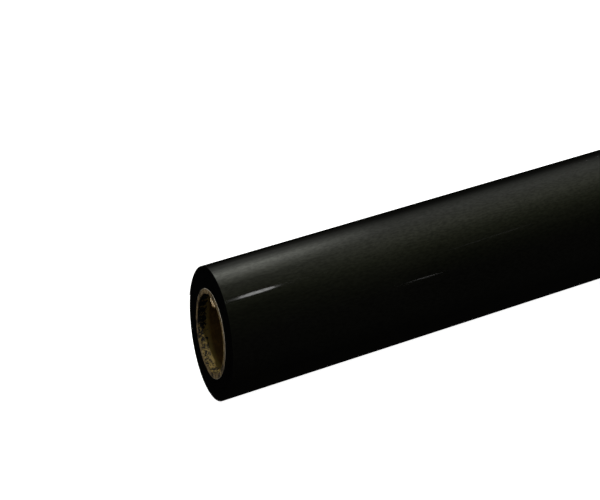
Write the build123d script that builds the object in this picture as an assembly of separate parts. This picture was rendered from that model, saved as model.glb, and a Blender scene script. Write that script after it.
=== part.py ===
"""A roll of self-adhesive sign vinyl, wound film side out on a spiral paper core.

Millimetres. The roll lies on its side: X runs along the core, Z is up, and the
origin is on the core's axis at half its length. The web is a strip of film and
adhesive on a paper liner. Its free outer end, the tail, hangs down the back.

Wound surfaces are two-centre spirals: each half turn is an arc, and the centres
of the two halves lie half a web thickness apart. Winding angles are measured
about X from the tail's edge, and the whole winding is then turned into place.
"""

from build123d import *
import math
import os

# Core: a tube of paper plies glued together.
BORE_RADIUS = 38.1
INNER_PLY_THICKNESS = 0.4
BODY_PLY_THICKNESS = 0.7
BODY_PLY_COUNT = 6
OUTER_PLY_THICKNESS = 0.4
CORE_OVERHANG = 0.5

# Web: the strip that is wound on the core.
WEB_WIDTH = 615.0
WEB_LENGTH = 30000.0
FILM_THICKNESS = 0.10
LINER_THICKNESS = 0.14

# Tape that holds the web's first turn on the core.
START_TAPE_WIDTH = 25.0
START_TAPE_THICKNESS = 0.10

# Tail: the loose outer end of the web, and the tip of film that peels off its liner.
TAIL_EDGE_ANGLE = 15.0
TAIL_LENGTH = 43.0
TAIL_RADIUS = 65.1
FILM_TIP_LENGTH = 18.0
TAIL_CLEARANCE = 0.05
PEEL_CLEARANCE = 0.04
ROOT_GAP = 0.1

# Longest arc in the section of a sheet that is thinner than a long arc's rise.
SHORT_ARC_ANGLE = 2.0

# Paper tape tabs that hold the tail down.
TAB_WIDTH = 24.0
TAB_THICKNESS = 0.06
TAB_SPACING = 360.0
TAB_LENGTH_ON_TAIL = 12.0
TAB_LENGTH_ON_ROLL = 14.0
TAB_RAMP_ANGLE = 1.5

# Worked out from the above.
CORE_RADIUS = (
    BORE_RADIUS + INNER_PLY_THICKNESS + BODY_PLY_COUNT * BODY_PLY_THICKNESS + OUTER_PLY_THICKNESS
)
CORE_LENGTH = WEB_WIDTH + 2 * CORE_OVERHANG
WEB_THICKNESS = FILM_THICKNESS + LINER_THICKNESS
ROLL_RADIUS = math.sqrt(CORE_RADIUS**2 + WEB_LENGTH * WEB_THICKNESS / math.pi)
CENTRE_OFFSET = WEB_THICKNESS / 4
TAIL_ROOT_ANGLE = math.degrees(TAIL_LENGTH / ROLL_RADIUS)
# Radius under the outermost turn, where that turn begins.
LAST_TURN_RADIUS = ROLL_RADIUS - 2 * WEB_THICKNESS


def half_turn(start_radius, first_angle, last_angle):
    """Arc of a wound surface that starts its turn at start_radius, within one half turn."""
    on_upper_half = first_angle < 180
    centre = (CENTRE_OFFSET if on_upper_half else -CENTRE_OFFSET, 0)
    growth = 3 * CENTRE_OFFSET if on_upper_half else CENTRE_OFFSET
    return CenterArc(centre, start_radius + growth, first_angle, last_angle - first_angle)


def turn_face(start_radius, thickness, first_angle):
    """Section of one layer of the last turn, from first_angle round to its start."""
    inner_upper = half_turn(start_radius, first_angle, 180)
    inner_lower = half_turn(start_radius, 180, 360)
    outer_upper = half_turn(start_radius + thickness, first_angle, 180)
    outer_lower = half_turn(start_radius + thickness, 180, 360)
    first_end = Line(inner_upper @ 0, outer_upper @ 0)
    last_end = Line(inner_lower @ 1, outer_lower @ 1)
    edges = [inner_upper, inner_lower, last_end, outer_lower, outer_upper, first_end]
    return make_face([edge.edges()[0] for edge in edges])


def short_arcs(centre, radius, first_angle, last_angle):
    """A long arc as a chain of short ones."""
    count = math.ceil(abs(last_angle - first_angle) / SHORT_ARC_ANGLE)
    step = (last_angle - first_angle) / count
    return [CenterArc(centre, radius, first_angle + step * i, step) for i in range(count)]


def band_face(centre, inner_radius, thickness, first_angle, last_angle):
    """Section of a thin curved strip of even thickness."""
    inner = short_arcs(centre, inner_radius, first_angle, last_angle)
    outer = short_arcs(centre, inner_radius + thickness, first_angle, last_angle)
    ends = [Line(inner[0] @ 0, outer[0] @ 0), Line(inner[-1] @ 1, outer[-1] @ 1)]
    return make_face([edge.edges()[0] for edge in [*inner, *outer, *ends]])


def along_core(face, length):
    """Solid of a section drawn from the tail's edge, centred on the core's length."""
    solid = extrude(Plane.YZ * face, amount=length / 2, both=True)
    return solid.rotate(Axis.X, TAIL_EDGE_ANGLE)


def thin_along_core(face):
    """The same as wide as the web, with each short arc of the section left a face of its own."""
    section = Plane.YZ.offset(-WEB_WIDTH / 2) * face
    return extrude(section, amount=WEB_WIDTH, clean=False).rotate(Axis.X, TAIL_EDGE_ANGLE)


def core_plies():
    """The core's plies, from the bore outwards: a smooth liner, the body and a smooth wrap."""
    names = ["core_inner_ply"]
    names += [f"core_body_ply_{number}" for number in range(1, BODY_PLY_COUNT + 1)]
    names += ["core_outer_ply"]
    thicknesses = [INNER_PLY_THICKNESS]
    thicknesses += [BODY_PLY_THICKNESS] * BODY_PLY_COUNT
    thicknesses += [OUTER_PLY_THICKNESS]
    plies = {}
    radius = BORE_RADIUS
    for name, thickness in zip(names, thicknesses):
        ring = Circle(radius + thickness) - Circle(radius)
        plies[name] = along_core(ring, CORE_LENGTH)
        radius += thickness
    return plies


def start_tape_face():
    """Section of the tape between the core and the web's first turn."""
    half_angle = math.degrees(START_TAPE_WIDTH / CORE_RADIUS) / 2
    return band_face((0, 0), CORE_RADIUS, START_TAPE_THICKNESS, -half_angle, half_angle)


def inner_turns():
    """All the turns under the last one, with the step where the last turn leaves them."""
    lower = half_turn(LAST_TURN_RADIUS, 180, 360)
    upper = half_turn(LAST_TURN_RADIUS, 0, 180)
    step = Line(upper @ 0, lower @ 1)
    outline = make_face([edge.edges()[0] for edge in [lower, upper, step]])
    return along_core(outline - Circle(CORE_RADIUS) - start_tape_face(), WEB_WIDTH)


def outer_turn():
    """The last turn's liner and film, up to the root of the tail."""
    first_angle = TAIL_ROOT_ANGLE + math.degrees(ROOT_GAP / ROLL_RADIUS)
    film_radius = LAST_TURN_RADIUS + LINER_THICKNESS
    return {
        "outer_turn_liner": along_core(
            turn_face(LAST_TURN_RADIUS, LINER_THICKNESS, first_angle), WEB_WIDTH
        ),
        "outer_turn_film": along_core(
            turn_face(film_radius, FILM_THICKNESS, first_angle), WEB_WIDTH
        ),
    }


def tail_centre():
    """Centre of the tail's curve, which leaves the roll in line and opens away from it."""
    root = math.radians(TAIL_ROOT_ANGLE)
    under_tail = LAST_TURN_RADIUS + 3 * CENTRE_OFFSET + TAIL_CLEARANCE
    shift = under_tail - TAIL_RADIUS
    return (CENTRE_OFFSET + shift * math.cos(root), shift * math.sin(root))


def tail_angle(distance_from_edge):
    """Angle about the tail's own centre, at a distance along the web from its edge."""
    return TAIL_ROOT_ANGLE - math.degrees((TAIL_LENGTH - distance_from_edge) / TAIL_RADIUS)


def tail():
    """The tail's liner, the film that stays on it, and the tip of film that peels."""
    centre = tail_centre()
    film_radius = TAIL_RADIUS + LINER_THICKNESS
    tip_radius = film_radius + PEEL_CLEARANCE
    edge_angle = tail_angle(0)
    peel_angle = tail_angle(FILM_TIP_LENGTH)
    root_angle = TAIL_ROOT_ANGLE
    film_start = tail_angle(FILM_TIP_LENGTH + ROOT_GAP)
    faces = {
        "tail_liner": band_face(centre, TAIL_RADIUS, LINER_THICKNESS, edge_angle, root_angle),
        "tail_film": band_face(centre, film_radius, FILM_THICKNESS, film_start, root_angle),
        "film_tip": band_face(centre, tip_radius, FILM_THICKNESS, edge_angle, peel_angle),
    }
    return {name: thin_along_core(face) for name, face in faces.items()}


def tab_path(height):
    """Edges of a tab's surface, at a height above the film tip and the roll."""
    tip_radius = TAIL_RADIUS + LINER_THICKNESS + PEEL_CLEARANCE + FILM_THICKNESS
    first_angle = tail_angle(TAB_LENGTH_ON_TAIL)
    on_tail = CenterArc(
        tail_centre(), tip_radius + height, first_angle, tail_angle(0) - first_angle
    )
    landing_angle = 360 - TAB_RAMP_ANGLE
    end_angle = landing_angle - math.degrees(TAB_LENGTH_ON_ROLL / ROLL_RADIUS)
    roll_surface = LAST_TURN_RADIUS + WEB_THICKNESS + TAIL_CLEARANCE
    on_roll = half_turn(roll_surface + height, landing_angle, end_angle)
    return [on_tail, Line(on_tail @ 1, on_roll @ 0), on_roll]


def tail_tape_tabs():
    """Two tabs of paper tape from the tip of the tail down on to the roll."""
    inner = tab_path(0)
    outer = tab_path(TAB_THICKNESS)
    ends = [Line(inner[0] @ 0, outer[0] @ 0), Line(inner[-1] @ 1, outer[-1] @ 1)]
    face = make_face([edge.edges()[0] for edge in [*inner, *outer, *ends]])
    tab = along_core(face, TAB_WIDTH)
    return Compound(children=[Pos(side * TAB_SPACING / 2, 0, 0) * tab for side in (-1, 1)])


nodes = {
    **core_plies(),
    "core_start_tape": thin_along_core(start_tape_face()),
    "inner_turns": inner_turns(),
    **outer_turn(),
    **tail(),
    "tail_tape_tabs": tail_tape_tabs(),
}

os.makedirs("parts", exist_ok=True)
for name, solid in nodes.items():
    export_step(solid, f"parts/{name}.step")
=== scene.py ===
"""A roll of glossy black sign vinyl, lying on a white studio floor with its tail taped down behind.

Metres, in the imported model's frame: X runs along the core, Z is up, and the origin is
on the core's axis at half its length. The web is film and adhesive on a paper liner.
"""

import math
import random

import bpy
from mathutils import Matrix, Vector


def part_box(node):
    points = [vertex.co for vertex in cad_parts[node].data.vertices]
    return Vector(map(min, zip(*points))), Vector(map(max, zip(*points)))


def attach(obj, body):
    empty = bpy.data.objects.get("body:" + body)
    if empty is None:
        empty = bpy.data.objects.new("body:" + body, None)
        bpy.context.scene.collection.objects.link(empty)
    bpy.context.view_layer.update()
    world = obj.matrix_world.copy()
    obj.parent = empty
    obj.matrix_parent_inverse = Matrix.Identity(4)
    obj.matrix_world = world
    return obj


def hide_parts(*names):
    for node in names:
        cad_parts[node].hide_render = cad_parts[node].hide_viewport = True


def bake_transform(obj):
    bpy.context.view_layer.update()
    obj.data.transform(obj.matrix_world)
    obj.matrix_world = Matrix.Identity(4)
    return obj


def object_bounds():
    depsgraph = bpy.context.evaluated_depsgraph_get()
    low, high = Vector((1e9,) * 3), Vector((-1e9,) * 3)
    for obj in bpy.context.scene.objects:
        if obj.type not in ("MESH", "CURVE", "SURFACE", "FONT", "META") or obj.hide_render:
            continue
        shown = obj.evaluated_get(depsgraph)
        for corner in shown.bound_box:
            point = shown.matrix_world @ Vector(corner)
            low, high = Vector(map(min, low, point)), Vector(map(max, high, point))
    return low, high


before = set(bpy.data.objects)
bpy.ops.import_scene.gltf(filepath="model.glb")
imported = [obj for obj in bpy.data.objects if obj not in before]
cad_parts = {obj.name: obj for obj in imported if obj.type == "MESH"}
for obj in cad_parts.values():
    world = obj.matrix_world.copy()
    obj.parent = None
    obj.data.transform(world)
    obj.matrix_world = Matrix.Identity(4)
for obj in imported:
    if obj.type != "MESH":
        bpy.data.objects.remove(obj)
cad_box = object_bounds()


# The core: a tube of paper plies wound on a mandrel in helices and glued. The body plies
# are thick grey-brown board, between a smooth kraft ply in the bore and a pale one outside.
# A saw cuts it to length, which leaves the plies' ends a little uneven.
MM = 0.001
TURN = 2 * math.pi
PLY_NAMES = ["core_inner_ply", *[f"core_body_ply_{n}" for n in range(1, 7)], "core_outer_ply"]
PLY_STEPS = 160
PLY_EDGE_BEVEL = 0.08 * MM
SMOOTH_ANGLE = math.radians(35)
BORE_RADIUS = 38.1 * MM
BORE_PLY_WIDTH = 127 * MM
BORE_PLY_SEAM = 0.6 * MM
LEAST_SAWN_OFF, MOST_SAWN_OFF = 0.02 * MM, 0.22 * MM
# How far in from the core's ends the painted shade and the painted light reach, and up to
# where they are in full. The painted shade thickens over some way towards the upper back.
PAINTED_SHADE_END, PAINTED_SHADE_FULL = 18 * MM, 5 * MM
PAINTED_LIGHT_END, PAINTED_LIGHT_FULL = 12.5 * MM, 9.5 * MM
PAINTED_SHADE_THICKEN = 40 * MM
core_end = cad_box[1][0]


def linear(hex_colour):
    """An sRGB hex colour as a linear colour with alpha."""
    parts = [int(hex_colour[i : i + 2], 16) / 255 for i in (1, 3, 5)]
    return [p / 12.92 if p <= 0.04045 else ((p + 0.055) / 1.055) ** 2.4 for p in parts] + [1.0]


def node(tree, kind, links=None, stops=None, **settings):
    """Adds a node. Settings are its properties, and links its inputs, as sockets or values.

    Stops are a ramp's positions with their colours, each a hex colour or a level of grey.
    """
    made = tree.nodes.new(kind)
    for name, value in settings.items():
        setattr(made, name, value)
    for name, value in (links or {}).items():
        if isinstance(value, bpy.types.NodeSocket):
            tree.links.new(value, made.inputs[name])
        else:
            made.inputs[name].default_value = value
    if stops:
        elements = made.color_ramp.elements
        while len(elements) < len(stops):
            elements.new(0.5)
        for element, (position, colour) in zip(elements, stops):
            element.position = position
            is_hex = isinstance(colour, str)
            element.color = linear(colour) if is_hex else (colour, colour, colour, 1)
    return made


def surface(name, colour, roughness, ior):
    """A new material: its tree, its shader, and the object coordinates that patterns use."""
    made = bpy.data.materials.new(name)
    made.use_nodes = True
    shader = made.node_tree.nodes["Principled BSDF"]
    shader.inputs["Base Color"].default_value = linear(colour)
    shader.inputs["Roughness"].default_value = roughness
    shader.inputs["IOR"].default_value = ior
    place = node(made.node_tree, "ShaderNodeTexCoord").outputs["Object"]
    return made, made.node_tree, shader, place


def edit_all():
    """Opens the active mesh for editing, with all of it selected."""
    bpy.ops.object.mode_set(mode="EDIT")
    bpy.ops.mesh.select_all(action="SELECT")


def close_mesh():
    """Welds the mesh being edited, turns its faces outwards and leaves edit mode."""
    bpy.ops.mesh.select_all(action="SELECT")
    bpy.ops.mesh.remove_doubles(threshold=1e-6)
    bpy.ops.mesh.normals_make_consistent(inside=False)
    bpy.ops.object.mode_set(mode="OBJECT")
    bpy.ops.object.shade_smooth_by_angle(angle=SMOOTH_ANGLE)


def section(name, x_range, y_range):
    """A rectangle's outline in the XY plane, open for editing and ready to be spun about X."""
    bpy.ops.object.select_all(action="DESELECT")
    middle = (sum(x_range) / 2, sum(y_range) / 2, 0)
    bpy.ops.mesh.primitive_plane_add(size=1, location=middle)
    piece = bpy.context.object
    piece.name = piece.data.name = name
    piece.scale = (x_range[1] - x_range[0], y_range[1] - y_range[0], 1)
    bpy.ops.object.transform_apply(location=True, rotation=True, scale=True)
    edit_all()
    bpy.ops.mesh.delete(type="ONLY_FACE")
    bpy.ops.mesh.select_all(action="SELECT")
    return piece


def spin(angle, steps, centre=(0, 0)):
    """Spins the selected outline from +Y towards +Z, about a line along X through centre."""
    bpy.ops.mesh.spin(steps=steps, angle=angle, center=(0, *centre), axis=(-1, 0, 0))


def place_on(piece, body, slot, *nodes, material=None):
    """The piece rides on a body and stands for its CAD nodes, with one finish."""
    if material:
        piece.data.materials.clear()
        piece.data.materials.append(material)
    if body:
        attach(piece, body)
    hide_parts(*nodes)


# Coreboard: recycled grey-brown board, sawn across. It is unglazed and matt, with darker
# flecks. Its fibres are about 1 mm long and drawn 2 mm long, coarser, so that they show.
core_board, tree, shader, place = surface("recycled_coreboard_sawn", "#8a7450", 0.9, 1.5)
fibre = node(tree, "ShaderNodeTexNoise", {"Vector": place, "Scale": 1 / (2 * MM), "Detail": 6.0})
fleck = node(tree, "ShaderNodeTexNoise", {"Vector": place, "Scale": 1 / (6 * MM), "Detail": 3.0})
tone = node(
    tree,
    "ShaderNodeValToRGB",
    {"Fac": fibre.outputs["Fac"]},
    [(0.3, "#5a4828"), (0.5, "#8a7450"), (0.66, "#b8a27a")],
)
flecks = node(
    tree,
    "ShaderNodeValToRGB",
    {"Fac": fleck.outputs["Fac"]},
    [(0.4, "#1c160c"), (0.5, "#ffffff")],
)
flecked = node(
    tree,
    "ShaderNodeMix",
    data_type="RGBA",
    blend_type="MULTIPLY",
    links={"Factor": 0.85, "A": tone.outputs["Color"], "B": flecks.outputs["Color"]},
)
tree.links.new(flecked.outputs["Result"], shader.inputs["Base Color"])
bump = node(
    tree, "ShaderNodeBump", {"Height": fibre.outputs["Fac"], "Strength": 0.6, "Distance": 0.1 * MM}
)
tree.links.new(bump.outputs["Normal"], shader.inputs["Normal"])

# Wrap ply: white-lined grey board, smoother and paler, whose edge rims the core's end.
wrap_board, tree, shader, place = surface("white_lined_grey_board", "#b3a996", 0.8, 1.5)
wisps = node(tree, "ShaderNodeTexNoise", {"Vector": place, "Scale": 1 / (3 * MM), "Detail": 5.0})
tone = node(
    tree,
    "ShaderNodeValToRGB",
    {"Fac": wisps.outputs["Fac"]},
    [(0.32, "#8a7f6b"), (0.5, "#b3a996"), (0.68, "#cfc7b6")],
)
tree.links.new(tone.outputs["Color"], shader.inputs["Base Color"])
bump = node(
    tree, "ShaderNodeBump", {"Height": wisps.outputs["Fac"], "Strength": 0.4, "Distance": 0.08 * MM}
)
tree.links.new(bump.outputs["Normal"], shader.inputs["Normal"])

# Kraft ply: brown machine-glazed kraft paper, calendered on one side. It is smoother than
# the board, with long fibres. Round the mouths it is painted paler, as painted light on the
# strip that the key lamp lights there. It also has black blots painted in as shade, most of all
# on the upper part towards the back, which the rim keeps out of the lamp's light.
kraft, tree, shader, place = surface("kraft_paper_machine_glazed", "#6a4a10", 0.75, 1.5)
stretched = node(tree, "ShaderNodeMapping", {"Vector": place, "Scale": (1.0, 0.45, 0.45)})
long_fibre = node(
    tree,
    "ShaderNodeTexNoise",
    {"Vector": stretched.outputs["Vector"], "Scale": 1 / (2.5 * MM), "Detail": 8.0, "Roughness": 0.65},
)
tone = node(
    tree,
    "ShaderNodeValToRGB",
    {"Fac": long_fibre.outputs["Fac"]},
    [(0.3, "#543a08"), (0.5, "#6a4a10"), (0.72, "#866323")],
)
axes = node(tree, "ShaderNodeSeparateXYZ", {"Vector": place})
from_middle = node(tree, "ShaderNodeMath", {0: axes.outputs["X"]}, operation="ABSOLUTE")
mouth = node(
    tree,
    "ShaderNodeMapRange",
    {
        "Value": from_middle.outputs[0],
        "From Min": core_end - PAINTED_SHADE_END,
        "From Max": core_end - PAINTED_SHADE_FULL,
    },
    interpolation_type="SMOOTHSTEP",
)
# Painted shade: black blots in the mouths, thickest on the upper part towards the back, where the wall
# gets no lamp light.
blots = node(
    tree,
    "ShaderNodeTexNoise",
    {"Vector": place, "Scale": 1 / (4 * MM), "Detail": 7.0, "Roughness": 0.8},
)
upper_back = node(
    tree, "ShaderNodeMath", {0: axes.outputs["Y"], 1: axes.outputs["Z"]}, operation="ADD"
)
thicker = node(
    tree,
    "ShaderNodeMapRange",
    {"Value": upper_back.outputs[0], "From Min": 0.0, "From Max": PAINTED_SHADE_THICKEN, "To Max": 0.075},
)
painted_shade_level = node(
    tree, "ShaderNodeMath", {0: blots.outputs["Fac"], 1: thicker.outputs[0]}, operation="ADD"
)
painted_shade_at_mouth = node(
    tree, "ShaderNodeMath", {0: mouth.outputs[0], 1: painted_shade_level.outputs[0]}, operation="MULTIPLY"
)
painted_shade_mask = node(
    tree,
    "ShaderNodeMapRange",
    {"Value": painted_shade_at_mouth.outputs[0], "From Min": 0.475, "From Max": 0.525},
)
# Painted light: the kraft is made paler all round the mouths, so that the strip the key lamp lights
# there shows cream.
painted_light_mask = node(
    tree,
    "ShaderNodeMapRange",
    {
        "Value": from_middle.outputs[0],
        "From Min": core_end - PAINTED_LIGHT_END,
        "From Max": core_end - PAINTED_LIGHT_FULL,
    },
)
pale = node(
    tree,
    "ShaderNodeMix",
    data_type="RGBA",
    links={"Factor": painted_light_mask.outputs[0], "A": tone.outputs["Color"], "B": linear("#a38a4a")},
)
# The painted shade is laid over the kraft in black.
with_painted_shade = node(
    tree,
    "ShaderNodeMix",
    data_type="RGBA",
    links={"Factor": painted_shade_mask.outputs[0], "A": pale.outputs["Result"], "B": linear("#060504")},
)
tree.links.new(with_painted_shade.outputs["Result"], shader.inputs["Base Color"])
bump = node(
    tree,
    "ShaderNodeBump",
    {"Height": long_fibre.outputs["Fac"], "Strength": 0.4, "Distance": 0.08 * MM},
)
tree.links.new(bump.outputs["Normal"], shader.inputs["Normal"])

saw = random.Random(11)
inner = BORE_RADIUS
for ply_name in PLY_NAMES:
    low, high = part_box(ply_name)
    outer = high.y
    is_bore = ply_name == "core_inner_ply"
    cut_left = low.x + saw.uniform(LEAST_SAWN_OFF, MOST_SAWN_OFF)
    cut_right = high.x - saw.uniform(LEAST_SAWN_OFF, MOST_SAWN_OFF)
    if is_bore:
        # One strip in a helix, butt-jointed, longer than the core and then cut at both ends.
        pitch = BORE_PLY_WIDTH / math.cos(math.asin(BORE_PLY_WIDTH / (TURN * inner)))
        turns = math.ceil((high.x - low.x) / pitch) + 3
        start = low.x - 1.3 * pitch
        ply = section(ply_name + "_strip", (start, start + pitch - BORE_PLY_SEAM), (inner, outer))
        bpy.ops.object.mode_set(mode="OBJECT")
        helix = ply.modifiers.new("helix", "SCREW")
        helix.axis = "X"
        helix.steps = helix.render_steps = PLY_STEPS
        helix.screw_offset = pitch
        helix.iterations = turns
        bpy.ops.object.modifier_apply(modifier=helix.name)
        edit_all()
        bpy.ops.mesh.normals_make_consistent(inside=False)
        for cut, outwards in ((cut_left, -1), (cut_right, 1)):
            bpy.ops.mesh.select_all(action="SELECT")
            bpy.ops.mesh.bisect(
                plane_co=(cut, 0, 0), plane_no=(outwards, 0, 0), clear_outer=True, use_fill=True
            )
        close_mesh()
    else:
        ply = section(ply_name + "_ring", (cut_left, cut_right), (inner, outer))
        bpy.ops.mesh.bevel(offset=PLY_EDGE_BEVEL, segments=2, affect="VERTICES")
        spin(TURN, PLY_STEPS)
        close_mesh()
    finish = kraft if is_bore else wrap_board if ply_name == "core_outer_ply" else core_board
    place_on(ply, "roll", "coreboard", ply_name, material=finish)
    inner = outer


# Torn scrap: a shred of the bore ply that the saw lifted at the left end. It is folded out
# over the rim, so it shows the pale inside of the kraft, which tore along its fibres.
SCRAP_THICKNESS = 0.2 * MM
SCRAP_FIRST, SCRAP_LAST = math.radians(97), math.radians(119)
SCRAP_HANG = 3.4 * MM
SCRAP_REACH = 1.6 * MM
SCRAP_OVERLAP = 0.1 * MM
SCRAP_COLUMNS = 18
torn_kraft, tree, shader, place = surface("kraft_paper_torn", "#c7a675", 0.9, 1.5)
shreds = node(tree, "ShaderNodeTexNoise", {"Vector": place, "Scale": 1 / (1.2 * MM), "Detail": 6.0})
tone = node(
    tree,
    "ShaderNodeValToRGB",
    {"Fac": shreds.outputs["Fac"]},
    [(0.38, "#7a5a2e"), (0.5, "#c7a675"), (0.6, "#f0e2c6")],
)
tree.links.new(tone.outputs["Color"], shader.inputs["Base Color"])
bump = node(
    tree, "ShaderNodeBump", {"Height": shreds.outputs["Fac"], "Strength": 0.7, "Distance": 0.2 * MM}
)
tree.links.new(bump.outputs["Normal"], shader.inputs["Normal"])
bpy.ops.object.select_all(action="DESELECT")
bpy.ops.mesh.primitive_grid_add(x_subdivisions=SCRAP_COLUMNS, y_subdivisions=6, size=1)
scrap = bpy.context.object
scrap.name = scrap.data.name = "torn_bore_scrap"
shred = random.Random(3)
rag = [shred.uniform(0.45, 1.0) for _ in range(SCRAP_COLUMNS + 1)]
for vertex in scrap.data.vertices:
    along = vertex.co.x + 0.5
    down = vertex.co.y + 0.5
    angle = SCRAP_FIRST + (SCRAP_LAST - SCRAP_FIRST) * along
    hang = down * rag[round(along * SCRAP_COLUMNS)] * math.sin(math.pi * along) ** 0.5
    radius = BORE_RADIUS + SCRAP_OVERLAP - SCRAP_HANG * hang
    out = SCRAP_REACH * hang * (1.3 - 0.5 * hang)
    vertex.co.x = cad_box[0][0] + SCRAP_OVERLAP - out
    vertex.co.y = radius * math.cos(angle)
    vertex.co.z = radius * math.sin(angle)
shell = scrap.modifiers.new("paper", "SOLIDIFY")
shell.thickness = SCRAP_THICKNESS
bpy.ops.object.modifier_apply(modifier=shell.name)
edit_all()
close_mesh()
scrap.data.materials.append(torn_kraft)
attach(scrap, "roll")


# Start tape: a strip of crepe paper tape that holds the web's first turn on the core. It
# lies between the two, so only its edges show at the ends of the roll. A flat strip needs
# no other shape, so the CAD node stays and only gets its finish.

# Crepe tape: saturated cream paper, creped across its length. Ridges are about 0.4 mm
# apart and drawn 0.9 mm apart, coarser, so that they show.
crepe, tree, shader, place = surface("crepe_paper_tape_saturated", "#d9c79a", 0.62, 1.48)
creases = node(
    tree,
    "ShaderNodeTexWave",
    {"Vector": place, "Scale": 1 / (6 * MM), "Distortion": 3.0, "Detail": 3.0, "Detail Scale": 2.5},
    wave_type="BANDS",
    bands_direction="DIAGONAL",
)
mottle = node(tree, "ShaderNodeTexNoise", {"Vector": place, "Scale": 1 / (3 * MM), "Detail": 4.0})
tone = node(
    tree,
    "ShaderNodeValToRGB",
    {"Fac": mottle.outputs["Fac"]},
    [(0.3, "#cbb685"), (0.55, "#d9c79a"), (0.75, "#e6d8b2")],
)
tree.links.new(tone.outputs["Color"], shader.inputs["Base Color"])
bump = node(
    tree,
    "ShaderNodeBump",
    {"Height": creases.outputs["Fac"], "Strength": 0.7, "Distance": 0.12 * MM},
)
tree.links.new(bump.outputs["Normal"], shader.inputs["Normal"])
start_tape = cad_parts["core_start_tape"]
start_tape.data.materials.clear()
start_tape.data.materials.append(crepe)


# The wound turns: some ninety turns of web, film side out. Each surface is a spiral in two
# half turns, whose centres lie half a web thickness apart. At the ends the turns' edges
# stand unevenly: the winder's tension lets small groups of them slip sideways.
WEB_THICKNESS = 0.24 * MM
CENTRE_OFFSET = WEB_THICKNESS / 4
TAIL_EDGE_TURN = math.radians(15)
HALF_TURN_STEPS = 90
TURNS_PER_LINE = 3
EDGE_GROUPS = 28
SLIP_STEP = 0.07 * MM
SLIP_LIMIT = 0.3 * MM
GROOVE_DEPTH = 0.07 * MM
# Under the last turn, where it begins. Thirty metres of web on the core come to this.
LAST_TURN_RADIUS = 63.936 * MM
web_low, web_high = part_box("inner_turns")
core_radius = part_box("core_outer_ply")[1].y


def turn_into_place(piece):
    """Turns a finished winding, drawn with the tail's edge on +Y, about the core's axis."""
    piece.rotation_euler.x = TAIL_EDGE_TURN
    bpy.ops.object.transform_apply(location=False, rotation=True, scale=False)


def cut_edges(piece, along_core, cuts):
    """Divides the edges of an outline that run along the core, or else those across it."""
    bpy.ops.mesh.select_mode(type="EDGE")
    bpy.ops.mesh.select_all(action="DESELECT")
    bpy.ops.object.mode_set(mode="OBJECT")
    for edge in piece.data.edges:
        first, last = (piece.data.vertices[i].co.x for i in edge.vertices)
        edge.select = (abs(last - first) > MM) == along_core
    bpy.ops.object.mode_set(mode="EDIT")
    bpy.ops.mesh.subdivide(number_cuts=cuts)
    bpy.ops.object.mode_set(mode="OBJECT")


# Film and liner edges: slit by rotary knives, so the film's edge is matt black and the
# liner's a thin dark line, dulled by adhesive. Lines are 0.24 mm apart and drawn 0.72 mm
# apart, three turns to a line, so that they show.
slit_edges, tree, shader, place = surface("slit_film_and_liner_edges", "#070707", 0.6, 1.5)
axes = node(tree, "ShaderNodeSeparateXYZ", {"Vector": place})
flat = node(tree, "ShaderNodeCombineXYZ", {"Y": axes.outputs["Y"], "Z": axes.outputs["Z"]})
radius = node(tree, "ShaderNodeVectorMath", {0: flat.outputs[0]}, operation="LENGTH")
phase = node(
    tree,
    "ShaderNodeMath",
    {0: radius.outputs["Value"], 1: TURN / (TURNS_PER_LINE * WEB_THICKNESS)},
    operation="MULTIPLY",
)
lines = node(tree, "ShaderNodeMath", {0: phase.outputs[0]}, operation="SINE")
tone = node(
    tree, "ShaderNodeValToRGB", {"Fac": lines.outputs[0]}, [(0.35, "#020202"), (0.95, "#070707")]
)
tree.links.new(tone.outputs["Color"], shader.inputs["Base Color"])
shader.inputs["Specular IOR Level"].default_value = 0.06

# Calendered PVC film: soft vinyl pressed between heated polished rolls, pigmented black
# all through. Its gloss is clear but not a mirror: the sheet keeps a faint orange peel,
# about 0.5 mm across and drawn 1.5 mm, and low bands and lines where the web's gauge
# varies. The rolls' polish leaves a fine grain in the sheen, drawn coarser at 1.6 mm.
film_gloss, tree, shader, place = surface("calendered_pvc_film_black", "#080807", 0.06, 1.53)
peel = node(tree, "ShaderNodeTexNoise", {"Vector": place, "Scale": 1 / (1.5 * MM), "Detail": 2.0})
bands_place = node(tree, "ShaderNodeMapping", {"Vector": place, "Scale": (1.0, 0.12, 0.12)})
bands = node(
    tree,
    "ShaderNodeTexNoise",
    {"Vector": bands_place.outputs["Vector"], "Scale": 1 / (22 * MM), "Detail": 2.0},
)
haze = node(tree, "ShaderNodeTexNoise", {"Vector": place, "Scale": 1 / (60 * MM), "Detail": 3.0})
gloss = node(
    tree,
    "ShaderNodeMapRange",
    {"Value": haze.outputs["Fac"], "From Min": 0.3, "From Max": 0.7, "To Min": 0.045, "To Max": 0.075},
)
tree.links.new(gloss.outputs[0], shader.inputs["Roughness"])
grain_place = node(tree, "ShaderNodeMapping", {"Vector": place, "Scale": (0.4, 1.0, 1.0)})
grain = node(
    tree,
    "ShaderNodeTexNoise",
    {"Vector": grain_place.outputs["Vector"], "Scale": 1 / (1.6 * MM), "Detail": 3.0},
)
sheen = node(
    tree,
    "ShaderNodeMapRange",
    {"Value": grain.outputs["Fac"], "From Min": 0.35, "From Max": 0.65, "To Min": 0.37, "To Max": 0.63},
)
tree.links.new(sheen.outputs[0], shader.inputs["Specular IOR Level"])
low_bump = node(
    tree, "ShaderNodeBump", {"Height": bands.outputs["Fac"], "Strength": 0.35, "Distance": 0.25 * MM}
)
cross_place = node(tree, "ShaderNodeMapping", {"Vector": place, "Scale": (0.03, 1.0, 1.0)})
cross_lines = node(
    tree,
    "ShaderNodeTexNoise",
    {"Vector": cross_place.outputs["Vector"], "Scale": 1 / (4 * MM), "Detail": 3.0},
)
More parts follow.
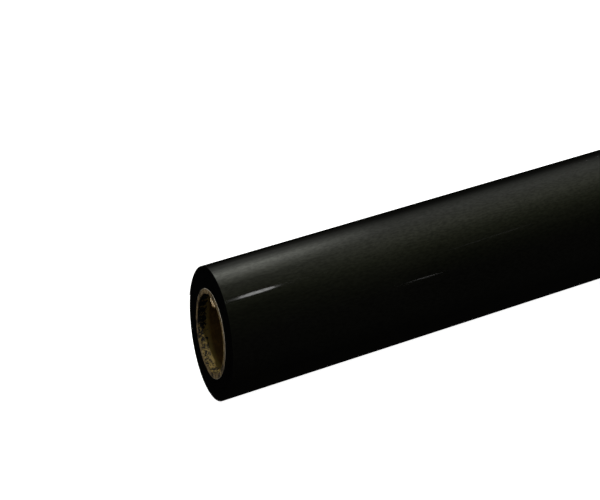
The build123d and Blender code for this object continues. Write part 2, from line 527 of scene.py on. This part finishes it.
cross_bump = node(
    tree,
    "ShaderNodeBump",
    {
        "Height": cross_lines.outputs["Fac"],
        "Strength": 0.3,
        "Distance": 0.05 * MM,
        "Normal": low_bump.outputs["Normal"],
    },
)
film_bump = node(
    tree,
    "ShaderNodeBump",
    {
        "Height": peel.outputs["Fac"],
        "Strength": 0.12,
        "Distance": 0.02 * MM,
        "Normal": cross_bump.outputs["Normal"],
    },
)
tree.links.new(film_bump.outputs["Normal"], shader.inputs["Normal"])

turns_inner = core_radius + WEB_THICKNESS
turns_outer = LAST_TURN_RADIUS + WEB_THICKNESS
turns = section("wound_turns", (web_low.x, web_high.x), (turns_inner, turns_outer))
cut_edges(turns, along_core=False, cuts=2 * EDGE_GROUPS - 1)
slip = random.Random(5)
ridge = (turns_outer - turns_inner) / (2 * EDGE_GROUPS)
drift = {-1: 0.0, 1: 0.0}
for vertex in sorted(turns.data.vertices, key=lambda v: v.co.y):
    side = 1 if vertex.co.x > 0 else -1
    step = round((vertex.co.y - turns_inner) / ridge)
    is_groove = step % 2 == 1
    if not is_groove:
        slipped = drift[side] + slip.uniform(-SLIP_STEP, SLIP_STEP)
        drift[side] = min(max(slipped, 0.0), SLIP_LIMIT)
    vertex.co.x -= side * (drift[side] + (GROOVE_DEPTH if is_groove else 0.0))
edit_all()
spin(math.pi, HALF_TURN_STEPS, (CENTRE_OFFSET, 0))
spin(math.pi, HALF_TURN_STEPS, (-CENTRE_OFFSET, 0))
bpy.ops.mesh.select_mode(type="VERT")
bpy.ops.mesh.select_all(action="DESELECT")
bpy.ops.mesh.select_non_manifold(extend=False)
bpy.ops.mesh.bridge_edge_loops()
close_mesh()
turn_into_place(turns)
turns.data.materials.append(slit_edges)
turns.data.materials.append(film_gloss)
for face in turns.data.polygons:
    face.material_index = 0 if abs(face.normal.x) > 0.1 else 1
place_on(turns, "roll", "black_vinyl", "inner_turns")


# The last turn: the outermost turn of liner and film, which ends where the tail begins.
# It is what the light plays on, so its surface is a fine spin of the two half turns.
LINER_THICKNESS = 0.14 * MM
FILM_THICKNESS = WEB_THICKNESS - LINER_THICKNESS
TAIL_LENGTH = 43 * MM
ROOT_GAP = 0.1 * MM
ROOT_ANGLE = TAIL_LENGTH / (LAST_TURN_RADIUS + 2 * WEB_THICKNESS)

# Release liner: bleached kraft with a clay coat and a silicone film, which gives it a
# clean off-white and a faint satin gloss on both sides.
liner_paper, tree, shader, place = surface("release_liner_clay_coated_kraft", "#e9e6dc", 0.45, 1.43)
cloud = node(tree, "ShaderNodeTexNoise", {"Vector": place, "Scale": 1 / (4 * MM), "Detail": 6.0})
tone = node(
    tree,
    "ShaderNodeValToRGB",
    {"Fac": cloud.outputs["Fac"]},
    [(0.3, "#e0dccf"), (0.5, "#e9e6dc"), (0.7, "#f1efe7")],
)
tree.links.new(tone.outputs["Color"], shader.inputs["Base Color"])
bump = node(
    tree, "ShaderNodeBump", {"Height": cloud.outputs["Fac"], "Strength": 0.15, "Distance": 0.05 * MM}
)
tree.links.new(bump.outputs["Normal"], shader.inputs["Normal"])


def outer_turn(name, inner_radius, thickness, cad_node, slot, material):
    """One layer of the last turn, from the tail's root round to where the turn begins."""
    start = ROOT_ANGLE + ROOT_GAP / inner_radius
    radius = inner_radius + 3 * CENTRE_OFFSET
    layer = section(name, (web_low.x, web_high.x), (radius, radius + thickness))
    bpy.ops.transform.translate(value=(0, CENTRE_OFFSET, 0))
    turn = Matrix.Rotation(start, 4, "X")
    centre = Vector((0, CENTRE_OFFSET, 0))
    bpy.ops.object.mode_set(mode="OBJECT")
    layer.data.transform(Matrix.Translation(centre) @ turn @ Matrix.Translation(-centre))
    edit_all()
    spin(math.pi - start, HALF_TURN_STEPS, (CENTRE_OFFSET, 0))
    spin(math.pi, HALF_TURN_STEPS, (-CENTRE_OFFSET, 0))
    bpy.ops.mesh.select_all(action="SELECT")
    bpy.ops.mesh.fill_holes(sides=0)
    close_mesh()
    turn_into_place(layer)
    layer.data.materials.append(material)
    layer.data.materials.append(slit_edges)
    for face in layer.data.polygons:
        face.material_index = 1 if abs(face.normal.x) > 0.9 else 0
    place_on(layer, "roll", slot, cad_node)


outer_turn(
    "last_turn_liner",
    LAST_TURN_RADIUS,
    LINER_THICKNESS,
    "outer_turn_liner",
    "release_liner",
    liner_paper,
)
outer_turn(
    "last_turn_film",
    LAST_TURN_RADIUS + LINER_THICKNESS,
    FILM_THICKNESS,
    "outer_turn_film",
    "black_vinyl",
    film_gloss,
)


# The tail: the loose end of the web, which hangs down the back with a slight opening curve
# of its own. Its film stays on the liner except for the tip, which has been started off it.
# Between and beyond the tape tabs the free edge stands off the roll a little.
TAIL_RADIUS = 65.1 * MM
TIP_LENGTH = 18 * MM
PEEL_CLEARANCE = 0.04 * MM
TAIL_CLEARANCE = 0.05 * MM
TAB_SPACING = 360 * MM
TAB_WIDTH = 24 * MM
EDGE_LIFT = 1.1 * MM
LENGTH_CUTS = 59
# What is left open where two sheets meet on a hinge line, too thin for light to show.
SHEET_GAP = 0.1 * ROOT_GAP

# Acrylic adhesive: a clear solvent-based coat on the film's back, about 20 micrometres
# thick. Over black film it looks dark grey, and it is satin and slightly uneven.
adhesive, tree, shader, place = surface("acrylic_adhesive_clear", "#1b1b1c", 0.34, 1.47)
pools = node(tree, "ShaderNodeTexNoise", {"Vector": place, "Scale": 1 / (3 * MM), "Detail": 4.0})
tone = node(
    tree,
    "ShaderNodeValToRGB",
    {"Fac": pools.outputs["Fac"]},
    [(0.35, "#161617"), (0.65, "#252527")],
)
tree.links.new(tone.outputs["Color"], shader.inputs["Base Color"])
bump = node(
    tree, "ShaderNodeBump", {"Height": pools.outputs["Fac"], "Strength": 0.4, "Distance": 0.05 * MM}
)
tree.links.new(bump.outputs["Normal"], shader.inputs["Normal"])

under_tail = LAST_TURN_RADIUS + 3 * CENTRE_OFFSET + TAIL_CLEARANCE
centre_shift = under_tail - TAIL_RADIUS
tail_centre = Vector(
    (0, CENTRE_OFFSET + centre_shift * math.cos(ROOT_ANGLE), centre_shift * math.sin(ROOT_ANGLE))
)


def tail_angle(from_edge):
    """Angle about the tail's own centre at a distance from its free edge."""
    return ROOT_ANGLE - (TAIL_LENGTH - from_edge) / TAIL_RADIUS


def lift_of_edge(x, from_edge):
    """How far the free edge stands off: nothing at the tabs, most between and beyond them."""
    reach = max(0.0, 1 - from_edge / (TAIL_LENGTH * 0.85)) ** 1.6
    held = TAB_SPACING / 2 - TAB_WIDTH / 2
    loose = TAB_SPACING / 2 + TAB_WIDTH / 2
    if abs(x) < held:
        free = math.cos(math.pi / 2 * x / held) ** 2
    elif abs(x) > loose:
        free = ((abs(x) - loose) / (web_high.x - loose)) ** 1.5
    else:
        free = 0.0
    return EDGE_LIFT * reach * free


def tail_layer(name, inner_radius, thickness, first, last, steps, materials):
    """One layer of the tail between two distances from its edge, curved and lifted.

    A second material, where there is one, goes on the side that faces the roll.
    """
    layer = section(name, (web_low.x, web_high.x), (inner_radius, inner_radius + thickness))
    cut_edges(layer, along_core=True, cuts=LENGTH_CUTS)
    turn = Matrix.Rotation(tail_angle(first), 4, "X")
    layer.data.transform(Matrix.Translation(tail_centre) @ turn)
    edit_all()
    spin(tail_angle(last) - tail_angle(first), steps, (tail_centre.y, tail_centre.z))
    bpy.ops.mesh.select_all(action="SELECT")
    bpy.ops.mesh.fill_holes(sides=0)
    close_mesh()
    for vertex in layer.data.vertices:
        arm = Vector((0, vertex.co.y - tail_centre.y, vertex.co.z - tail_centre.z))
        from_edge = (math.atan2(arm.z, arm.y) - tail_angle(0)) * TAIL_RADIUS
        vertex.co += arm.normalized() * lift_of_edge(vertex.co.x, from_edge)
    for material in materials:
        layer.data.materials.append(material)
    for face in layer.data.polygons:
        arm = Vector((0, face.center.y - tail_centre.y, face.center.z - tail_centre.z))
        inward = face.normal.dot(arm.normalized()) < -0.5
        face.material_index = 1 if inward and len(materials) > 1 else 0
    turn_into_place(layer)
    return layer


def fold_over(layer):
    """Bakes the layer's placement into its mesh."""
    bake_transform(layer)


film_radius = TAIL_RADIUS + LINER_THICKNESS
tip_radius = film_radius + PEEL_CLEARANCE
film_start = TIP_LENGTH + SHEET_GAP
tail_root = TAIL_LENGTH + ROOT_GAP - SHEET_GAP
film_sides = [film_gloss, adhesive]
liner_sheet = tail_layer(
    "tail_liner_sheet", TAIL_RADIUS, LINER_THICKNESS, 0.0, tail_root, 44, [liner_paper]
)
place_on(liner_sheet, None, "release_liner", "tail_liner")
fold_over(liner_sheet)
film_sheet = tail_layer(
    "tail_film_sheet", film_radius, FILM_THICKNESS, film_start, tail_root, 26, film_sides
)
place_on(film_sheet, None, "black_vinyl", "tail_film")
fold_over(film_sheet)
tip_sheet = tail_layer(
    "film_tip_sheet", tip_radius, FILM_THICKNESS, 0.0, TIP_LENGTH, 36, film_sides
)
place_on(tip_sheet, None, "black_vinyl", "film_tip")
fold_over(tip_sheet)


# Tape tabs: two short pieces of the same crepe tape, torn off on a serrated blade, which
# hold the film tip down on the roll. They run from the tip over its edge on to the roll.
TAB_THICKNESS = 0.06 * MM
TAB_ON_TAIL = 12 * MM
TAB_ON_ROLL = 14 * MM
TAB_RAMP = math.radians(1.5)
TEETH = 16
TOOTH_DEPTH = 0.8 * MM
NEAR = 0.01 * MM
tail_axis = (tail_centre.y, tail_centre.z)
lower_axis = (-CENTRE_OFFSET, 0)
film_surface = LAST_TURN_RADIUS + 3 * CENTRE_OFFSET + WEB_THICKNESS
on_tail_radius = tip_radius + FILM_THICKNESS
landing_radius = LAST_TURN_RADIUS + WEB_THICKNESS + TAIL_CLEARANCE + CENTRE_OFFSET


def polar(axis, radius, angle):
    """The point at an angle about an axis along X, given as its place in Y and Z."""
    return Vector((0, axis[0] + radius * math.cos(angle), axis[1] + radius * math.sin(angle)))


upper = polar(tail_axis, on_tail_radius, tail_angle(TAB_ON_TAIL))
edge_of_tail = polar(tail_axis, on_tail_radius, tail_angle(0))
landing = polar(lower_axis, landing_radius, -TAB_RAMP)
for side in (-1, 1):
    middle = side * TAB_SPACING / 2
    bpy.ops.object.select_all(action="DESELECT")
    bpy.ops.mesh.primitive_plane_add(size=TAB_WIDTH, location=(middle, upper.y, upper.z))
    tab = bpy.context.object
    tab.name = tab.data.name = f"tape_tab_{'left' if side < 0 else 'right'}"
    bpy.ops.object.transform_apply(location=True, rotation=True, scale=True)
    # The plane is drawn together into its middle line, the tab's upper end.
    edit_all()
    bpy.ops.mesh.delete(type="ONLY_FACE")
    bpy.ops.mesh.select_all(action="SELECT")
    bpy.ops.transform.resize(value=(1, 0, 1), center_override=(middle, upper.y, upper.z))
    bpy.ops.mesh.remove_doubles(threshold=1e-6)
    bpy.ops.mesh.select_all(action="SELECT")
    bpy.ops.mesh.subdivide(number_cuts=2 * TEETH - 1)
    bpy.ops.mesh.select_all(action="SELECT")
    spin(tail_angle(0) - tail_angle(TAB_ON_TAIL), 12, tail_axis)
    bpy.ops.mesh.extrude_region_move(
        TRANSFORM_OT_translate={"value": tuple(landing - edge_of_tail)}
    )
    spin(-TAB_ON_ROLL / film_surface, 14, lower_axis)
    bpy.ops.object.mode_set(mode="OBJECT")
    # The two torn ends are a saw-tooth: every other point of each end is drawn back.
    column = TAB_WIDTH / (2 * TEETH)
    lowest = min(v.co.z for v in tab.data.vertices)
    tear = random.Random(21 + side)
    for vertex in tab.data.vertices:
        tooth = round((vertex.co.x - middle) / column)
        at_top = (vertex.co - Vector((vertex.co.x, upper.y, upper.z))).length < NEAR
        at_bottom = vertex.co.z < lowest + NEAR
        if tooth % 2 and (at_top or at_bottom):
            depth = TOOTH_DEPTH * tear.uniform(0.5, 1.0)
            arm = Vector((0, vertex.co.y, vertex.co.z)).normalized()
            along = Vector((0, arm.z, -arm.y))
            vertex.co += along * (depth if at_top else -depth)
    turn_into_place(tab)
    # An open sheet can be made consistent either way round, so its outer side is checked.
    edit_all()
    bpy.ops.mesh.normals_make_consistent(inside=False)
    bpy.ops.object.mode_set(mode="OBJECT")
    outwards = sum(p.normal.dot(Vector((0, p.center.y, p.center.z))) for p in tab.data.polygons)
    if outwards < 0:
        edit_all()
        bpy.ops.mesh.flip_normals()
        bpy.ops.object.mode_set(mode="OBJECT")
    paper = tab.modifiers.new("paper", "SOLIDIFY")
    paper.thickness = TAB_THICKNESS
    paper.offset = 1.0
    bpy.ops.object.modifier_apply(modifier=paper.name)
    bpy.ops.object.shade_smooth_by_angle(angle=SMOOTH_ANGLE)
    place_on(tab, "film_tip", "paper_tape", "tail_tape_tabs", material=crepe)


# The studio: a white paper sweep that glows evenly, so that the roll lies on plain white.
# It is there for the camera alone, and gives the roll no light and no reflection.
SWEEP_RADIUS = 9.0
floor_height = cad_box[0][2]
bpy.ops.object.select_all(action="DESELECT")
bpy.ops.mesh.primitive_uv_sphere_add(segments=64, ring_count=32, radius=SWEEP_RADIUS)
sweep = bpy.context.object
sweep.name = "studio_sweep"
edit_all()
bpy.ops.mesh.bisect(
    plane_co=(0, 0, floor_height), plane_no=(0, 0, -1), clear_outer=True, use_fill=True
)
bpy.ops.mesh.select_all(action="SELECT")
bpy.ops.mesh.normals_make_consistent(inside=True)
bpy.ops.object.mode_set(mode="OBJECT")
white_paper, tree, shader, place = surface("white_background_paper", "#fdfdfd", 1.0, 1.45)
shader.inputs["Emission Color"].default_value = linear("#ffffff")
shader.inputs["Emission Strength"].default_value = 1.0
sweep.data.materials.append(white_paper)
sweep.visible_diffuse = False
sweep.visible_glossy = False
sweep.visible_shadow = False
sweep.visible_transmission = False

# Soft light: a broad bank overhead, drawn as a gradient of angle about the roll's own axis,
# from 0 degrees at the back through 90 overhead. It is brightest a little behind the top.
# A brighter patch to the side is what the film's left end shows the camera, and the light
# falls off beyond the left end, so that little of it goes into the bore.
world = bpy.data.worlds.new("studio_light")
world.use_nodes = True
bpy.context.scene.world = world
tree = world.node_tree
direction = node(tree, "ShaderNodeTexCoord").outputs["Generated"]
axes = node(tree, "ShaderNodeSeparateXYZ", {"Vector": direction})
about_x = node(
    tree, "ShaderNodeMath", {0: axes.outputs["Z"], 1: axes.outputs["Y"]}, operation="ARCTAN2"
)
share = node(
    tree,
    "ShaderNodeMapRange",
    {"Value": about_x.outputs[0], "From Min": -math.pi, "From Max": math.pi},
)
UNDERSIDE = [(-180, 0.035), (-140, 0.03), (-100, 0.012), (-60, 0.004), (-20, 0.002), (5, 0.004)]
BANK = [(14, 0.011), (20, 0.02), (28, 0.063), (37, 0.17), (46, 0.29), (57, 0.43), (68, 0.46)]
BANK += [(79, 0.48), (90, 0.46), (101, 0.33), (111, 0.245), (120, 0.19), (130, 0.13)]
BANK += [(153, 0.062), (168, 0.045), (180, 0.035)]
PATCH = [(18, 0.05), (33, 0.3), (43, 0.85), (51, 1.5), (61, 1.22), (71, 0.72), (82, 0.34)]
PATCH += [(93, 0.27), (104, 0.19), (114, 0.143), (123, 0.104), (132, 0.066), (154, 0.05)]
PATCH += [(180, 0.035)]
TINTS = [(-180, "#ffffe8"), (30, "#fcfff4"), (60, "#fcfff1"), (90, "#faffe1"), (120, "#f5ffce")]
TINTS += [(160, "#f8ffd4"), (180, "#ffffe8")]
bank, patch, tint = (
    node(
        tree,
        "ShaderNodeValToRGB",
        {"Fac": share.outputs[0]},
        [((degrees + 180) / 360, level) for degrees, level in stops],
    ).outputs["Color"]
    for stops in (UNDERSIDE + BANK, UNDERSIDE + PATCH, TINTS)
)
patch_right = node(
    tree, "ShaderNodeMapRange", {"Value": axes.outputs["X"], "From Min": 0.385, "From Max": 0.31}
)
patch_left = node(
    tree, "ShaderNodeMapRange", {"Value": axes.outputs["X"], "From Min": 0.05, "From Max": 0.22}
)
in_patch = node(
    tree,
    "ShaderNodeMath",
    {0: patch_right.outputs[0], 1: patch_left.outputs[0]},
    operation="MULTIPLY",
)
level = node(
    tree,
    "ShaderNodeMix",
    data_type="RGBA",
    links={"Factor": in_patch.outputs[0], "A": bank, "B": patch},
)
fade = node(
    tree,
    "ShaderNodeMapRange",
    {"Value": axes.outputs["X"], "From Min": -0.4, "From Max": 0.0, "To Min": 0.12, "To Max": 1.0},
)
light = node(
    tree, "ShaderNodeMath", {0: level.outputs["Result"], 1: fade.outputs[0]}, operation="MULTIPLY"
)
background = tree.nodes["Background"]
tree.links.new(light.outputs[0], background.inputs["Strength"])
tree.links.new(tint, background.inputs["Color"])


def lamp(name, kind, place, target, energy, **settings):
    """Adds a lamp at a place, aimed at a target and hidden from the camera."""
    data = bpy.data.lights.new(name, kind)
    data.energy = energy
    for setting, value in settings.items():
        setattr(data, setting, value)
    made = bpy.data.objects.new(name, data)
    bpy.context.scene.collection.objects.link(made)
    made.location = place
    made.rotation_euler = (Vector(target) - Vector(place)).to_track_quat("-Z", "Y").to_euler()
    made.visible_camera = False
    return made


# Key: a small bare lamp high over the roll's left end, which reaches just inside the bore.
left_end = cad_box[0][0]
lamp(
    "key_over_left_end",
    "SPOT",
    (left_end - 0.205, -0.43, 1.86),
    (left_end, 0.0, 0.0),
    48.0,
    shadow_soft_size=0.012,
    spot_size=math.radians(12),
    spot_blend=0.3,
)

# Fill: a soft lamp far out to the left, nearly on the core's axis. It shows the core's sawn
# end and only grazes the bore.
lamp(
    "fill_from_left", "AREA", (left_end - 2.0, -0.2, 0.2), (left_end, 0.0, 0.0), 9.0, size=0.6
)

# Fill behind: a soft lamp on the far side, which shows the tape tabs and the tail.
lamp("fill_from_behind", "AREA", (2.2, 2.1, 0.9), (0.1, 0.0, 0.0), 60.0, size=1.0)


def oval_lamp(name, start, end, width, radiance):
    """An oval lamp as long as the way between two points, facing the roll."""
    start, end = Vector(start), Vector(end)
    middle = (start + end) / 2
    span = (end - start).length
    power = radiance * math.pi * (math.pi / 4 * width * span)
    made = lamp(name, "AREA", middle, (0, 0, 0), power, shape="ELLIPSE", size=width, size_y=span)
    lengthwise = (end - start).normalized()
    sideways = lengthwise.cross(middle.normalized()).normalized()
    facing = sideways.cross(lengthwise)
    made.rotation_euler = Matrix((sideways, lengthwise, facing)).transposed().to_euler()


# Small lamps: one oval head overhead, seen as the bright streak near the left end, and two
# thin tubes in front, seen as faint short lines further along.
oval_lamp("lamp_overhead", (0.141, -0.53, 1.405), (0.212, -0.535, 1.40), 0.13, 4.4)
oval_lamp("tube_front_low", (0.487, -1.477, 0.264), (0.537, -1.482, 0.23), 0.012, 2.5)
oval_lamp("tube_front_high", (0.575, -1.116, 1.003), (0.75, -1.081, 1.04), 0.012, 0.35)


# The camera: a short telephoto from the front and left, a little above the roll. Its stand
# shears the picture a little, so that upright lines lean as in a corrected product view.
CAMERA_PLACE = Vector((-0.6726, -1.1792, 0.5628))
CAMERA_AZIMUTH = math.radians(-20.98)
CAMERA_ELEVATION = math.radians(21.83)
CAMERA_SKEW = 0.1558
backwards = Vector(
    (
        math.sin(CAMERA_AZIMUTH) * math.cos(CAMERA_ELEVATION),
        -math.cos(CAMERA_AZIMUTH) * math.cos(CAMERA_ELEVATION),
        math.sin(CAMERA_ELEVATION),
    )
)
rightwards = Vector((math.cos(CAMERA_AZIMUTH), math.sin(CAMERA_AZIMUTH), 0))
upwards = backwards.cross(rightwards)
skewed = rightwards - CAMERA_SKEW * upwards
camera_data = bpy.data.cameras.new("camera")
camera_data.lens = 88.29
camera_data.sensor_width = 36.0
camera_data.clip_end = 50.0
camera = bpy.data.objects.new("camera", camera_data)
stand = bpy.data.objects.new("camera_stand", None)
for made in (camera, stand):
    bpy.context.scene.collection.objects.link(made)
camera.parent = stand
camera.matrix_parent_inverse = Matrix(
    [[skewed[i], upwards[i], backwards[i], CAMERA_PLACE[i]] for i in range(3)] + [[0, 0, 0, 1]]
)
bpy.context.scene.camera = camera
bpy.context.scene.view_settings.view_transform = "Standard"
